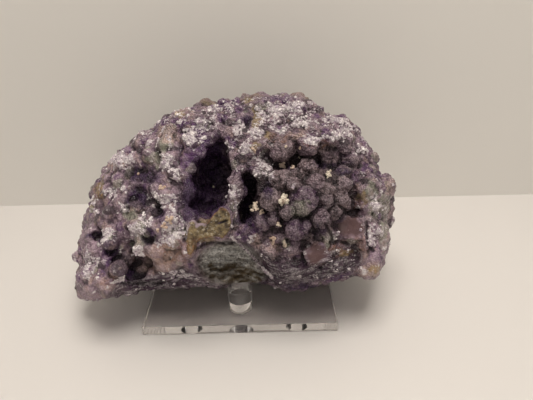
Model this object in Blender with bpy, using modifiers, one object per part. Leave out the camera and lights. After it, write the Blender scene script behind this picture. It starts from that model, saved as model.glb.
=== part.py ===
"""Fluorite specimen on a clear acrylic display stand.

The stone is a cushion of purple fluorite crust grown on grey-brown matrix. It leans back on three
short round pegs that stand on a flat acrylic base. Lengths in the constants are millimetres, and the
scene is in metres with +Z up. The base's underside is at height 0 with its centre at the origin.

The stone is laid out in a leaning frame: u runs to the right, v up along the stone's face, and w out
of the face towards the viewer. Places on the face were measured as they are seen from EYE, so each is
given as the (u, v) where its sight line crosses the plane w = 0.
"""

import math
import random

import bmesh
import bpy
from mathutils import Matrix, Vector, noise
from mathutils.bvhtree import BVHTree

MM = 0.001
SEED = 6354

# Stand
BASE_WIDTH = 101.6
BASE_DEPTH = 76.2
BASE_THICKNESS = 5.6
PEG_DIAMETER = 12.7
PEG_TOP = 18.6
GAP = 0.3
POLISHED_EDGE = 0.3
FRONT_PEG_AT = (0.0, -23.8)
LEFT_REAR_PEG_AT = (-32.0, 22.0)
RIGHT_REAR_PEG_AT = (32.0, 22.0)

# Leaning frame of the stone
LEAN = math.radians(29.3)
STONE_ORIGIN = Vector((0.0, 4.7, 63.0))
U_AXIS = Vector((1.0, 0.0, 0.0))
V_AXIS = Vector((0.0, math.sin(LEAN), math.cos(LEAN)))
W_AXIS = Vector((0.0, -math.cos(LEAN), math.sin(LEAN)))
EYE = Vector((13.7, -6.8, 252.2))

# Cushion that everything grows on
RIM_CENTRE = (0.0, -5.0)
RIM_INSET = 1.0
FRONT_DEPTH = 33.0
BACK_DEPTH = 43.0
FRONT_FULLNESS = 2.3
BACK_FULLNESS = 2.7
UNDERSIDE_FRONT = 15.5
UNDERSIDE_REAR = 18.3
LEFT_CORNER_DROP = 3.5
WAVE_SIZE = 24.0
WAVE_DEPTH = 3.0
VOXEL = 1.45
STONE_TRIANGLES = 8350

# Outline of the stone as seen from the front, anticlockwise from its lower left corner.
OUTLINE = (
    (-83.7, -58.4), (-76.2, -58.6), (-71.4, -57.3), (-62.1, -55.8), (-53.7, -54.0),
    (-45.6, -53.4), (-30.1, -52.9), (-20.4, -52.4), (-7.6, -53.5), (0.0, -50.2),
    (6.9, -50.6), (19.3, -52.4), (23.5, -55.8), (32.1, -55.5), (42.3, -53.7),
    (49.3, -51.8), (55.5, -50.2), (59.6, -50.0), (61.1, -47.2), (67.8, -50.2),
    (72.0, -50.3), (75.8, -48.2), (76.2, -44.1), (79.8, -38.1), (81.3, -31.9),
    (80.1, -22.3), (78.9, -18.2), (81.0, -13.4), (81.8, -8.0), (85.7, -1.2),
    (81.4, 3.7), (77.6, 4.5), (76.7, 8.0), (74.1, 15.6), (71.1, 22.4),
    (66.8, 25.9), (63.7, 30.7), (57.0, 35.5), (48.4, 39.1), (43.0, 43.8),
    (33.8, 47.0), (28.3, 50.6), (22.2, 50.1), (13.4, 48.4), (3.0, 46.8),
    (-5.1, 46.4), (-14.6, 43.8), (-21.1, 42.2), (-26.7, 43.4), (-31.2, 42.0),
    (-40.4, 37.9), (-46.0, 32.4), (-53.8, 30.1), (-60.4, 22.2), (-68.1, 17.0),
    (-72.6, 7.8), (-78.8, -5.8), (-82.4, -18.5), (-86.6, -27.0), (-86.3, -42.5),
    (-88.9, -45.4), (-88.4, -52.1),
)

# Soft rises and dips of the front, as (u, v, half width, half height, rise).
SWELLS = (
    (38.0, 27.0, 26.0, 8.0, 5.5),       # ledge of crust over the right recess
    (36.0, 15.0, 27.0, 5.5, -9.0),      # undercut below the ledge
    (36.0, -9.0, 22.0, 15.0, 3.5),      # bulging mass of dark knobs
    (63.0, -10.0, 4.5, 26.0, -4.0),     # groove beside the right band
    (71.0, -10.0, 5.5, 26.0, 3.5),      # upright band at the right end
    (71.0, -44.0, 7.0, 6.0, 6.0),       # lower right knob
    (38.0, -44.0, 26.0, 6.0, 3.0),      # layered lower right edge
    (-38.0, -20.0, 15.0, 12.0, 2.5),    # pinkish swelling left of the blade
    (-60.0, 8.0, 15.0, 10.0, -2.5),     # shallow hollow of grey knobs
    (-35.0, 25.0, 20.0, 9.0, 2.5),      # upper left shoulder
    (-76.0, -51.0, 16.0, 8.0, 5.0),     # smooth slab at the lower left
    (-76.0, -30.0, 9.0, 14.0, 2.0),     # left end
    (8.0, 22.0, 8.0, 16.0, 3.0),        # ridge between the two hollows
    (34.0, -38.0, 22.0, 3.5, -1.6),     # groove above the layered edge
    (10.5, -20.0, 3.0, 16.0, -3.0),     # groove left of the dark knobs
)

# Hollows cut into the front, as (u, v, w, radius along u, along v, along w).
HOLLOWS = (
    (-11.0, 19.0, 31.0, 6.5, 9.5, 16.0),    # top of the deep hollow
    (-12.5, 6.0, 24.0, 10.5, 14.0, 26.0),   # deep hollow
    (-16.0, -8.0, 27.0, 9.5, 7.5, 22.0),    # foot of the deep hollow
    (4.8, -13.0, 27.0, 4.6, 9.5, 18.0),     # narrow hollow right of the ridge
    (5.8, 2.0, 30.0, 3.4, 8.5, 14.0),       # its upper end
    (-6.5, -42.0, 27.0, 16.5, 14.5, 22.0),  # arch below the blade
    (5.0, -50.0, 18.0, 12.0, 8.0, 15.0),    # right foot of the arch
    (-54.0, -42.0, 25.0, 8.5, 8.0, 12.0),   # lower left pocket
    (-62.0, -33.0, 27.0, 8.0, 7.0, 11.0),   # its left end
    (-48.0, -7.0, 33.0, 6.5, 6.0, 9.0),     # small pocket
    (-51.0, 9.5, 31.0, 8.0, 4.5, 9.0),      # small pocket
    (-76.0, -23.0, 20.0, 4.5, 4.0, 8.0),    # nick near the left end
    (6.5, 38.0, 26.0, 4.0, 5.0, 7.0),       # notch in the top crust
    (63.5, -32.0, 27.0, 2.0, 9.0, 12.0),    # upright crack at the right
    (60.8, -49.0, 12.0, 2.2, 4.0, 14.0),    # notch beside the lower right knob
)

# Outline of the tan blade of matrix, as it is seen.
BLADE = (
    (-27.2, -17.6), (-24.5, -16.6), (-22.4, -19.3), (-18.1, -18.9), (-14.3, -15.2),
    (-9.3, -10.5), (-5.6, -12.7), (-4.1, -18.1), (-5.3, -22.9), (-9.2, -27.1),
    (-14.0, -26.0), (-20.9, -26.9), (-23.7, -29.5), (-24.8, -33.8), (-27.6, -35.3),
    (-28.5, -31.5), (-27.3, -24.6),
)
BLADE_FRONT = 37.0
BLADE_BACK = 12.0

# Larger knobs of the front, as (u, v, radius), measured where they are seen.
KNOBS = (
    # mass of dark knobs in the right recess
    (18.1, -6.3, 5.3), (24.3, 4.8, 4.6), (38.3, 9.9, 5.0), (25.2, 18.6, 7.6), (36.4, 19.4, 4.8),
    (45.6, 18.4, 4.8), (60.0, 15.0, 4.8), (61.5, 10.1, 4.6), (36.4, -6.7, 6.6), (45.0, -3.1, 5.2),
    (56.2, -9.3, 5.2), (54.3, 0.4, 4.8), (61.9, 3.1, 4.4), (10.9, -17.9, 4.6), (17.9, -17.6, 4.2),
    (24.4, -12.9, 4.2), (31.7, -23.8, 6.1), (37.0, -25.0, 4.5), (45.8, -18.7, 5.6), (51.2, -17.8, 3.8),
    (60.1, -25.5, 7.0), (43.3, -33.7, 6.6), (14.3, -33.0, 5.0), (65.4, -34.0, 4.6), (49.2, -10.2, 4.6),
    (27.9, -1.7, 3.8), (50.4, -26.3, 4.2), (33.0, -15.2, 3.8), (43.1, 4.4, 4.0), (12.3, -26.0, 3.8),
    (27.2, -33.9, 4.8), (51.2, -39.9, 4.5), (20.5, -24.5, 3.8), (32.0, 2.6, 4.0),
    # right band and right end
    (66.6, -2.5, 4.3), (66.9, -10.6, 4.3), (65.1, -18.6, 4.0), (76.2, -5.4, 4.6), (77.0, -13.5, 4.0),
    (74.7, -24.2, 4.8), (75.7, -32.3, 4.6), (73.3, -38.6, 4.3), (71.5, -44.8, 5.0), (82.0, -1.4, 3.4),
    (79.0, 0.6, 3.4), (59.1, -45.8, 3.0), (74.2, 0.5, 3.6), (72.4, 14.0, 3.6), (69.2, 17.9, 3.2),
    # top crust and ledge
    (25.8, 46.6, 4.0), (13.9, 44.0, 4.3), (34.2, 42.3, 4.3), (43.8, 38.9, 4.3), (52.9, 33.3, 4.3),
    (59.8, 25.6, 3.6), (20.7, 37.1, 4.3), (29.7, 33.7, 4.6), (39.4, 31.4, 4.6), (49.0, 27.9, 4.6),
    (58.0, 21.8, 3.8), (11.5, 33.2, 3.8), (-11.5, 36.7, 4.8), (-4.7, 30.2, 4.3), (1.7, 28.4, 4.3),
    (6.9, 21.3, 4.3), (13.2, 14.7, 4.8), (16.3, 8.2, 4.3), (10.9, 8.7, 3.6), (1.0, 12.3, 3.8),
    (-0.6, 3.2, 3.4), (-1.2, -5.5, 3.2), (-4.4, 41.0, 4.3), (-15.7, 38.0, 3.6),
    # left half
    (-37.5, 24.4, 4.8), (-35.2, 30.8, 4.8), (-21.0, 34.5, 5.0), (-24.6, 26.3, 4.6), (-31.0, 8.2, 4.6),
    (-36.1, 16.3, 4.5), (-43.2, 4.3, 4.8), (-46.8, 18.0, 4.8), (-54.8, 16.5, 4.5), (-62.1, 15.3, 4.0),
    (-64.1, 5.7, 4.5), (-71.2, -2.2, 4.3), (-68.8, -11.3, 4.5), (-60.6, -5.1, 4.8), (-39.2, -2.9, 4.6),
    (-37.8, -16.3, 4.8), (-55.0, -19.1, 4.8), (-44.9, -22.6, 4.6), (-34.3, -27.1, 4.8),
    (-61.8, -29.9, 5.0), (-53.7, -31.0, 3.6), (-65.7, -41.9, 4.6), (-71.6, -38.7, 4.2), (-69.6, -23.6, 3.8),
    (-79.6, -32.3, 5.0), (-80.6, -43.2, 4.8), (-85.0, -46.3, 3.4), (-80.4, -52.6, 4.2), (-85.2, -54.6, 3.6), (-71.3, -52.4, 4.4),
    (-61.7, -51.6, 4.0), (-48.1, -47.6, 4.3), (-40.0, -40.4, 4.8), (-31.8, -37.2, 4.6), (-37.5, -48.2, 4.0),
    (-26.0, -44.4, 4.5), (-50.4, 29.4, 3.0), (-27.6, 34.4, 4.5), (-27.2, -1.4, 3.8), (-44.0, -33.0, 4.0),
)

KNOB_SINK = 0.30

# Foot of matrix over the front peg, as (u, v, w, radius along u, along v, along w).
FRONT_FOOT = (0.5, -47.6, -3.5, 9.0, 4.6, 6.0)

# Scattered smaller knobs
FACE_SCATTER = 150
FACE_SCATTER_RADII = (2.4, 3.8)
BACK_SCATTER = 150
BACK_SCATTER_RADII = (4.0, 8.5)
BACK_SINK = 0.55


def lean_point(u, v, w):
    """World place, in metres, of a point of the leaning frame."""
    return (STONE_ORIGIN + u * U_AXIS + v * V_AXIS + w * W_AXIS) * MM


def seen(u, v, w):
    """Leaning-frame point at depth w on the sight line through (u, v, 0)."""
    here = Vector((u, v, 0.0))
    return here + (EYE - here) * (w / EYE.z)


def seen_point(u, v, w):
    """World place, in metres, of the point at depth w on the sight line through (u, v, 0)."""
    return lean_point(*seen(u, v, w))


def clear_scene():
    for obj in list(bpy.data.objects):
        bpy.data.objects.remove(obj, do_unlink=True)


def new_collection(name):
    collection = bpy.data.collections.new(name)
    bpy.context.scene.collection.children.link(collection)
    return collection


def new_material(name, colour, roughness, transmission=0.0):
    material = bpy.data.materials.new(name)
    material.use_nodes = True
    shader = material.node_tree.nodes["Principled BSDF"]
    shader.inputs["Base Color"].default_value = (*colour, 1.0)
    shader.inputs["Roughness"].default_value = roughness
    shader.inputs["Transmission Weight"].default_value = transmission
    shader.inputs["IOR"].default_value = 1.49 if transmission else 1.43
    return material


def new_object(name, bm, collection, material=None):
    mesh = bpy.data.meshes.new(name)
    bm.to_mesh(mesh)
    bm.free()
    obj = bpy.data.objects.new(name, mesh)
    collection.objects.link(obj)
    if material:
        obj.data.materials.append(material)
    return obj


def make_cutter(obj):
    obj.hide_render = True
    obj.display_type = "WIRE"
    return obj


def apply_modifiers(obj):
    """Puts the result of the object's modifiers in place of its mesh."""
    graph = bpy.context.evaluated_depsgraph_get()
    old = obj.data
    obj.data = bpy.data.meshes.new_from_object(obj.evaluated_get(graph))
    obj.modifiers.clear()
    bpy.data.meshes.remove(old)


def add_boolean(obj, name, operation, other):
    modifier = obj.modifiers.new(name, "BOOLEAN")
    modifier.operation = operation
    modifier.solver = "EXACT"
    modifier.object = other
    return modifier


def build_base(collection, material):
    bm = bmesh.new()
    bmesh.ops.create_cube(bm, size=1.0)
    bmesh.ops.scale(bm, vec=Vector((BASE_WIDTH, BASE_DEPTH, BASE_THICKNESS)) * MM, verts=bm.verts)
    bmesh.ops.translate(bm, vec=(0.0, 0.0, BASE_THICKNESS * MM / 2), verts=bm.verts)
    bmesh.ops.bevel(
        bm, geom=bm.edges[:], offset=POLISHED_EDGE * MM, segments=1, affect="EDGES", profile=0.5
    )
    return new_object("stand_base", bm, collection, material)


def build_peg(name, place, collection, material):
    height = PEG_TOP - BASE_THICKNESS - GAP
    bm = bmesh.new()
    bmesh.ops.create_cone(
        bm,
        cap_ends=True,
        segments=48,
        radius1=PEG_DIAMETER * MM / 2,
        radius2=PEG_DIAMETER * MM / 2,
        depth=height * MM,
    )
    middle = (PEG_TOP + BASE_THICKNESS + GAP) / 2
    bmesh.ops.translate(bm, vec=Vector((*place, middle)) * MM, verts=bm.verts)
    rims = [edge for edge in bm.edges if len(edge.link_faces) == 2 and edge.calc_face_angle() > 1.0]
    bmesh.ops.bevel(
        bm, geom=rims, offset=POLISHED_EDGE * MM, segments=1, affect="EDGES", profile=0.5
    )
    return new_object(name, bm, collection, material)


def rim_table():
    """Pairs of angle and distance from the rim's centre, sorted by angle."""
    pairs = []
    for u, v in OUTLINE:
        du = u - RIM_CENTRE[0]
        dv = v - RIM_CENTRE[1]
        pairs.append((math.atan2(dv, du), math.hypot(du, dv) - RIM_INSET))
    pairs.sort()
    first, last = pairs[0], pairs[-1]
    return [(last[0] - math.tau, last[1])] + pairs + [(first[0] + math.tau, first[1])]


def wrapped(angle):
    """The same direction as an angle from -pi to pi."""
    return math.atan2(math.sin(angle), math.cos(angle))


def rim_radius(angle, table):
    for (a0, r0), (a1, r1) in zip(table, table[1:]):
        if a0 <= angle <= a1:
            share = (angle - a0) / (a1 - a0) if a1 > a0 else 0.0
            return r0 + (r1 - r0) * share
    return table[0][1]


def swell(u, v):
    """Sum of the soft rises and dips of the front at this place."""
    total = 0.0
    for cu, cv, half_width, half_height, rise in SWELLS:
        reach = ((u - cu) / half_width) ** 2 + ((v - cv) / half_height) ** 2
        total += rise * math.exp(-(reach**1.6))
    return total


def rest_above_underside(place):
    """Presses a low world place up to the worn underside, which dips at the stone's left corner."""
    x, y, z = place / MM
    rearward = min(1.0, max(0.0, (y + 12.0) / 16.0))
    floor = UNDERSIDE_FRONT + (UNDERSIDE_REAR - UNDERSIDE_FRONT) * rearward
    floor -= LEFT_CORNER_DROP * min(1.0, max(0.0, (-60.0 - x) / 15.0))
    if z < floor:
        z = floor + (z - floor) * 0.06
    return Vector((x, y, z)) * MM


def build_cushion(collection):
    """Closed body with the stone's outline, rounded at the front and fuller at the back."""
    table = rim_table()
    bm = bmesh.new()
    bmesh.ops.create_icosphere(bm, subdivisions=6, radius=1.0)
    for vert in bm.verts:
        across, up, out = vert.co
        flat = min(1.0, math.hypot(across, up))
        angle = math.atan2(up, across)
        fullness = FRONT_FULLNESS if out > 0 else BACK_FULLNESS
        height = abs(out) ** (2.0 / fullness)
        radius = rim_radius(angle, table)
        wave = 0.0
        if out < 0:
            around = [rim_radius(wrapped(angle + step * 0.12), table) for step in range(-4, 5)]
            radius += (sum(around) / len(around) - radius) * min(1.0, 2.0 * height)
            wave = noise.noise(vert.co * (80.0 / WAVE_SIZE)) * WAVE_DEPTH * min(1.0, 2.0 * height)
        radius = (radius + wave) * flat ** (2.0 / fullness)
        u = RIM_CENTRE[0] + radius * math.cos(angle)
        v = RIM_CENTRE[1] + radius * math.sin(angle)
        if out > 0:
            place = seen_point(u, v, FRONT_DEPTH * height + swell(u, v) * min(1.0, height * 2.5))
        else:
            place = rest_above_underside(seen_point(u, v, -BACK_DEPTH * height - wave))
        vert.co = place
    bmesh.ops.recalc_face_normals(bm, faces=bm.faces)
    return new_object("fluorite_specimen", bm, collection)


def add_ellipsoid(bm, centre, radii, detail):
    """Ellipsoid with its axes along the leaning frame's, added to the mesh."""
    made = bmesh.ops.create_icosphere(bm, subdivisions=detail, radius=1.0)
    for vert in made["verts"]:
        u, v, w = (c + r * x for c, r, x in zip(centre, radii, vert.co))
        vert.co = lean_point(u, v, w)
    return made["verts"]


def cut_hollows(stone, cutters):
    for number, (u, v, w, ru, rv, rw) in enumerate(HOLLOWS, 1):
        bm = bmesh.new()
        add_ellipsoid(bm, seen(u, v, w), (ru, rv, rw), 3)
        bmesh.ops.recalc_face_normals(bm, faces=bm.faces)
        cutter = make_cutter(new_object(f"hollow_cutter_{number}", bm, cutters))
        add_boolean(stone, f"hollow {number}", "DIFFERENCE", cutter)
    apply_modifiers(stone)


def add_blade(bm):
    """Upright plate of tan matrix between the deep hollow and the arch."""
    front = [bm.verts.new(seen_point(u, v, BLADE_FRONT)) for u, v in BLADE]
    back = [bm.verts.new(seen_point(u, v, BLADE_BACK)) for u, v in BLADE]
    faces = [bm.faces.new(front), bm.faces.new(reversed(back))]
    for i in range(len(BLADE)):
        j = (i + 1) % len(BLADE)
        faces.append(bm.faces.new((front[j], front[i], back[i], back[j])))
    bmesh.ops.recalc_face_normals(bm, faces=faces)


def add_knob(bm, place, inward, radius, rng, sink=KNOB_SINK):
    """Slightly uneven ball sunk into the surface at this place. Lengths here are metres."""
    made = bmesh.ops.create_icosphere(bm, subdivisions=2, radius=radius)
    turn = Matrix.Rotation(rng.uniform(0.0, math.tau), 4, Vector((0.3, 0.5, 0.8)).normalized())
    stretch = Matrix.Diagonal((*(rng.uniform(0.9, 1.12) for _ in range(3)), 1.0))
    centre = Matrix.Translation(place + inward * (radius * sink))
    bmesh.ops.transform(bm, matrix=centre @ turn @ stretch, verts=made["verts"])


def grow_knobs(stone):
    """Adds the knobs, the blade and the foot to the stone's mesh as overlapping closed shapes."""
    rng = random.Random(SEED)
    bm = bmesh.new()
    bm.from_mesh(stone.data)
    tree = BVHTree.FromBMesh(bm)
    eye = lean_point(*EYE)

    def strike(start, towards):
        ray = (towards - start).normalized()
        place, normal, _, _ = tree.ray_cast(start, ray)
        return (place, normal, ray) if place else (None, None, None)

    for u, v, radius in KNOBS:
        place, normal, _ = strike(eye, lean_point(u, v, 0.0))
        if place:
            add_knob(bm, place, -normal, radius * MM, rng)

    scattered = 0
    while scattered < FACE_SCATTER:
        u = rng.uniform(-86.0, 82.0)
        v = rng.uniform(-56.0, 48.0)
        place, normal, _ = strike(eye, lean_point(u, v, 0.0))
        if not place:
            continue
        if -24.0 < u < 14.0 and v < -28.0:
            scattered += 1
            continue
        add_knob(bm, place, -normal, rng.uniform(*FACE_SCATTER_RADII) * MM, rng)
        scattered += 1

    middle = lean_point(0.0, -4.0, -8.0)
    for _ in range(BACK_SCATTER):
        across = rng.uniform(-1.0, 1.0)
        angle = rng.uniform(math.pi, math.tau)
        ring = math.sqrt(1.0 - across * across)
        outward = across * U_AXIS + ring * (math.cos(angle) * V_AXIS + math.sin(angle) * W_AXIS)
        start = middle + outward * 0.25
        place, normal, _ = strike(start, middle + U_AXIS * (across * 0.06))
        if place:
            add_knob(bm, place, -normal, rng.uniform(*BACK_SCATTER_RADII) * MM, rng, BACK_SINK)

    add_blade(bm)
    add_ellipsoid(bm, FRONT_FOOT[:3], FRONT_FOOT[3:], 3)
    bm.to_mesh(stone.data)
    bm.free()


def keep_largest_shell(stone):
    """Drops loose crumbs and the walls of closed voids, which leaves one outer surface."""
    bm = bmesh.new()
    bm.from_mesh(stone.data)
    unseen = set(bm.verts)
    shells = []
    while unseen:
        seed = unseen.pop()
        shell = [seed]
        queue = [seed]
        while queue:
            vert = queue.pop()
            for edge in vert.link_edges:
                other = edge.other_vert(vert)
                if other in unseen:
                    unseen.remove(other)
                    shell.append(other)
                    queue.append(other)
        shells.append(shell)
    shells.sort(key=len)
    for shell in shells[:-1]:
        bmesh.ops.delete(bm, geom=shell, context="VERTS")
    bm.to_mesh(stone.data)
    bm.free()


def fuse(stone):
    """Makes the overlapping shapes one skin and thins it to the wanted number of triangles."""
    remesh = stone.modifiers.new("Fuse", "REMESH")
    remesh.mode = "VOXEL"
    remesh.voxel_size = VOXEL * MM
    remesh.adaptivity = 0.0
    apply_modifiers(stone)
    keep_largest_shell(stone)
    triangulate = stone.modifiers.new("Triangulate", "TRIANGULATE")
    triangulate.quad_method = "SHORTEST_DIAGONAL"
    apply_modifiers(stone)
    decimate = stone.modifiers.new("Thin", "DECIMATE")
    decimate.ratio = STONE_TRIANGLES / len(stone.data.polygons)
    decimate.use_collapse_triangulate = True
    apply_modifiers(stone)


def seat_on_pegs(stone, cutters):
    """Cuts a flat seat into the underside over each peg."""
    for number, place in enumerate((FRONT_PEG_AT, LEFT_REAR_PEG_AT, RIGHT_REAR_PEG_AT), 1):
        bottom, top = -10.0, PEG_TOP + GAP
        bm = bmesh.new()
        bmesh.ops.create_cone(
            bm,
            cap_ends=True,
            segments=32,
            radius1=(PEG_DIAMETER / 2 + 0.7) * MM,
            radius2=(PEG_DIAMETER / 2 + 0.7) * MM,
            depth=(top - bottom) * MM,
        )
        bmesh.ops.translate(bm, vec=Vector((*place, (top + bottom) / 2)) * MM, verts=bm.verts)
        cutter = make_cutter(new_object(f"seat_cutter_{number}", bm, cutters))
        add_boolean(stone, f"seat {number}", "DIFFERENCE", cutter)
    apply_modifiers(stone)
    keep_largest_shell(stone)


def build_stone(collection, cutters, material):
    stone = build_cushion(collection)
    cut_hollows(stone, cutters)
    grow_knobs(stone)
    fuse(stone)
    seat_on_pegs(stone, cutters)
    stone.data.materials.clear()
    stone.data.materials.append(material)
    return stone


def main():
    clear_scene()
    bpy.context.scene.unit_settings.scale_length = 1.0
    parts = new_collection("fluorite_specimen_on_stand")
    cutters = new_collection("cutters")
    fluorite = new_material("Purple fluorite on matrix", (0.16, 0.11, 0.19), 0.42)
    acrylic = new_material("Clear acrylic", (0.95, 0.96, 0.96), 0.04, 1.0)
    build_base(parts, acrylic)
    build_peg("front_peg", FRONT_PEG_AT, parts, acrylic)
    build_peg("left_rear_peg", LEFT_REAR_PEG_AT, parts, acrylic)
    build_peg("right_rear_peg", RIGHT_REAR_PEG_AT, parts, acrylic)
    build_stone(parts, cutters, fluorite)


main()
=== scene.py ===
"""Looks of the fluorite specimen on its clear acrylic stand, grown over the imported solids.

The stone is laid out in the same leaning frame as its solid: u to the right, v up along the face and
w out of the face. A place on the face is given as the (u, v), in millimetres, where its sight line
from EYE crosses the plane w = 0.
"""

import math

import bpy
import numpy as np
from bpy.props import FloatProperty, FloatVectorProperty, IntProperty, PointerProperty
from mathutils import Matrix, Quaternion, Vector, noise
from mathutils.bvhtree import BVHTree
from mathutils.kdtree import KDTree


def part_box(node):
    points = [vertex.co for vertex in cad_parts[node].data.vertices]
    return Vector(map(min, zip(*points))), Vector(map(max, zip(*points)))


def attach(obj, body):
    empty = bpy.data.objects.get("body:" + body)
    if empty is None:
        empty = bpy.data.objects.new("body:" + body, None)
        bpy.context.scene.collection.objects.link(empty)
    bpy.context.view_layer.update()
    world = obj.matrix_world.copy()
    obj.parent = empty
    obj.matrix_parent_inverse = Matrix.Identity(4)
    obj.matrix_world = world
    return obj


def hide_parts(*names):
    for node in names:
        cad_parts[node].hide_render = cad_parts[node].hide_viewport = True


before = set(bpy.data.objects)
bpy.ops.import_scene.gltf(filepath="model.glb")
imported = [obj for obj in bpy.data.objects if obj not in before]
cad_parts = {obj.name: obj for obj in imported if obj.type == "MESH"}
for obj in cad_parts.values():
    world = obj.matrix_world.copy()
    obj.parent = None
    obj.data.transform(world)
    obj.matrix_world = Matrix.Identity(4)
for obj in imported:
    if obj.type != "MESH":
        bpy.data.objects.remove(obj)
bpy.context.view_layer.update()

bl_info = {
    "name": "Fluorite specimen on stand",
    "version": (1, 0, 0),
    "blender": (4, 5, 0),
    "location": "View3D > Sidebar > Specimen",
    "description": "Grows crust, crystals and a polished stand over the packed solids",
    "category": "Object",
}

MM = 0.001

# Leaning frame of the stone, in millimetres
LEAN = math.radians(29.3)
STONE_ORIGIN = np.array([0.0, 4.7, 63.0])
U_AXIS = np.array([1.0, 0.0, 0.0])
V_AXIS = np.array([0.0, math.sin(LEAN), math.cos(LEAN)])
W_AXIS = np.array([0.0, -math.cos(LEAN), math.sin(LEAN)])
EYE = np.array([13.7, -6.8, 252.2])

# Markings of the face, as (u, v, half width, half height).
PATCHES = {
    "frost": (
        (-38, 15, 4.3, 6.3), (-32, 7, 4.3, 4.6), (-37, -6, 7.5, 4.6), (-48, -5, 4.8, 3.4),
        (-55, -21, 4.8, 4.0), (-49, -17, 3.8, 5.7), (-33, -21, 8.0, 7.0), (-54, -33, 3.2, 2.8),
        (-68, -1, 3.4, 2.4), (-60, 2, 3.2, 2.0), (-60, 14, 5.5, 3.4), (-40, -28, 5.0, 3.4),
        (-64, -33, 2.1, 1.7), (-72, -25, 4.8, 4.6), (-80, -40, 4.8, 6.8), (-65, -49, 3.2, 2.8),
        (-31, -46, 4.8, 1.7), (-23, 28, 6.4, 5.1), (-64, 18, 7.0, 4.0), (1, 33, 3.8, 4.6),
        (-4, 22, 2.7, 2.8), (-13, 43, 3.6, 1.8), (-2, -6, 3.2, 9.5),
        (-61, -9, 4.3, 3.4), (-77, -8, 2.1, 4.6), (14, 11, 4.8, 8.5), (21, 42, 5.4, 4.0),
        (36, 34, 6.4, 4.0), (52, 36, 6.4, 2.3), (54, 27, 5.9, 2.8), (43, 26, 5.4, 2.8),
        (24, 32, 7.0, 1.7), (31, 0, 2.2, 1.8), (58, 31, 4.8, 3.4), (29, 42, 7.5, 3.4),
        (10, 30, 4.3, 4.0), (14, 40, 4.3, 3.4), (74, -11, 3.2, 6.8), (72, -27, 2.7, 6.8),
        (6, 20, 4.3, 4.6), (-17, 34, 5.4, 3.4), (66, 19, 3.2, 2.8), (6, -28, 2.1, 3.4),
    ),
    "facet": (
        (60.5, -23, 6.8, 6.0), (41.5, -37, 6.4, 4.8),
    ),
    "stain": (
        (8, 22.5, 2.6, 3.6), (-30, -32, 6.5, 6.0), (-39, -36, 6.5, 5.5), (55, -34, 5.0, 3.6),
        (66, -31, 3.4, 4.0), (63.5, -8, 1.6, 9.0), (-75, 3, 2.4, 10.0), (43, 23, 7.0, 1.6),
        (22, 27, 6.0, 2.0), (73, -44, 3.6, 2.4), (-70, -48, 6.0, 3.0),
    ),
    # Painted shade in the hollows and under ledges, in deep violet.
    "dark": (
        (-14, 5, 9.1, 21.7), (-11, 20, 4.8, 8.0), (-23, -4, 9.0, 15.0), (5, -14, 4.3, 11.4),
        (6, 3, 3.2, 6.8), (-56, -43, 5.9, 6.8), (-51, 8, 8.5, 4.4), (-53, -4, 5.5, 6.0),
        (-44, -12, 3.8, 2.8), (-53, -10, 3.8, 2.3), (-69, -31, 3.2, 4.0), (-48, -25, 3.8, 4.0),
        (-77, -24, 3.2, 2.3), (6, 38, 2.7, 3.4), (57, 8, 7.5, 1.7), (25, 11, 6.4, 1.7),
        (50, 12, 10.7, 1.7), (57, -19, 4.3, 2.3), (43, -25, 2.7, 2.8), (16, -1, 2.7, 4.6),
        (-64, -38, 5.4, 3.4), (5, -51, 13.4, 2.3), (35, -54, 13.4, 1.7), (-50, -50, 13.0, 1.8),
    ),
    "brown": (
        (33, -4, 27.9, 25.6), (25, 24, 8.0, 6.3), (39, 20, 13.4, 3.4), (52, 11, 15.0, 4.6),
    ),
    "rosy": (
        (62, -36, 7.5, 4.6), (17, -34, 4.8, 4.0),
        (-43, -37, 11.8, 8.0), (-69, -53, 7.0, 1.8), (82, -1, 2.7, 5.1), (-80, -46, 3.0, 3.4),
        (10, -30, 4.3, 4.0), (-37, 30, 5.4, 4.6), (-66, 15, 7.5, 2.8), (32, 27, 5.4, 1.7),
        (-27, 41, 4.3, 3.4), (70, -46, 6.4, 4.6),
    ),
    "violet": (
        (-13, -13, 4.8, 8.0), (4, -25, 5.4, 5.7), (-25, 32, 8.6, 6.8), (-6, 47, 10.7, 4.6),
        (-20, 21, 6.4, 8.0), (48, -48, 11.8, 2.8), (-69, -34, 5.4, 8.0), (-59, -48, 7.5, 5.7),
        (6, -31, 4.3, 3.4), (72, 27, 4.3, 9.1), (78, 13, 4.3, 9.1), (24, 48, 6.4, 2.8),
        (-25, 18, 5.4, 6.8), (-41, 35, 7.5, 3.4), (61, 38, 6.4, 3.4),
    ),
    "green": (
        (-37, 30, 2.1, 2.3), (-38, 24, 4.3, 4.0), (-53, -27, 4.3, 3.4), (-33, -23, 4.8, 3.4),
        (72, -8, 3.2, 10.3), (78, -25, 2.7, 8.0), (48, -30, 2.7, 4.6), (79, -11, 2.7, 6.8),
        (-44, 16, 4.3, 3.4), (-58, -13, 4.3, 3.4), (25, -31, 2.1, 2.3), (33, -13, 5.4, 4.6),
    ),
    "tan": (
        (-18, -23, 8.6, 6.3), (-26, -27, 2.7, 8.0), (-74, 6, 2.1, 9.1), (-78, -5, 2.1, 3.4),
        (11, 38, 2.7, 5.7), (-30, 40, 1.6, 1.7), (73, -45, 2.7, 1.7), (10, 22, 2.1, 3.4),
        (17, 27, 2.7, 1.7), (56, -36, 3.2, 2.8), (67, -6, 2.1, 3.4), (7, 47, 2.7, 1.7),
    ),
    "rock": (
        (-6, -40, 16.1, 11.4), (3, -47, 10.7, 5.1),
    ),
}

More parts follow.
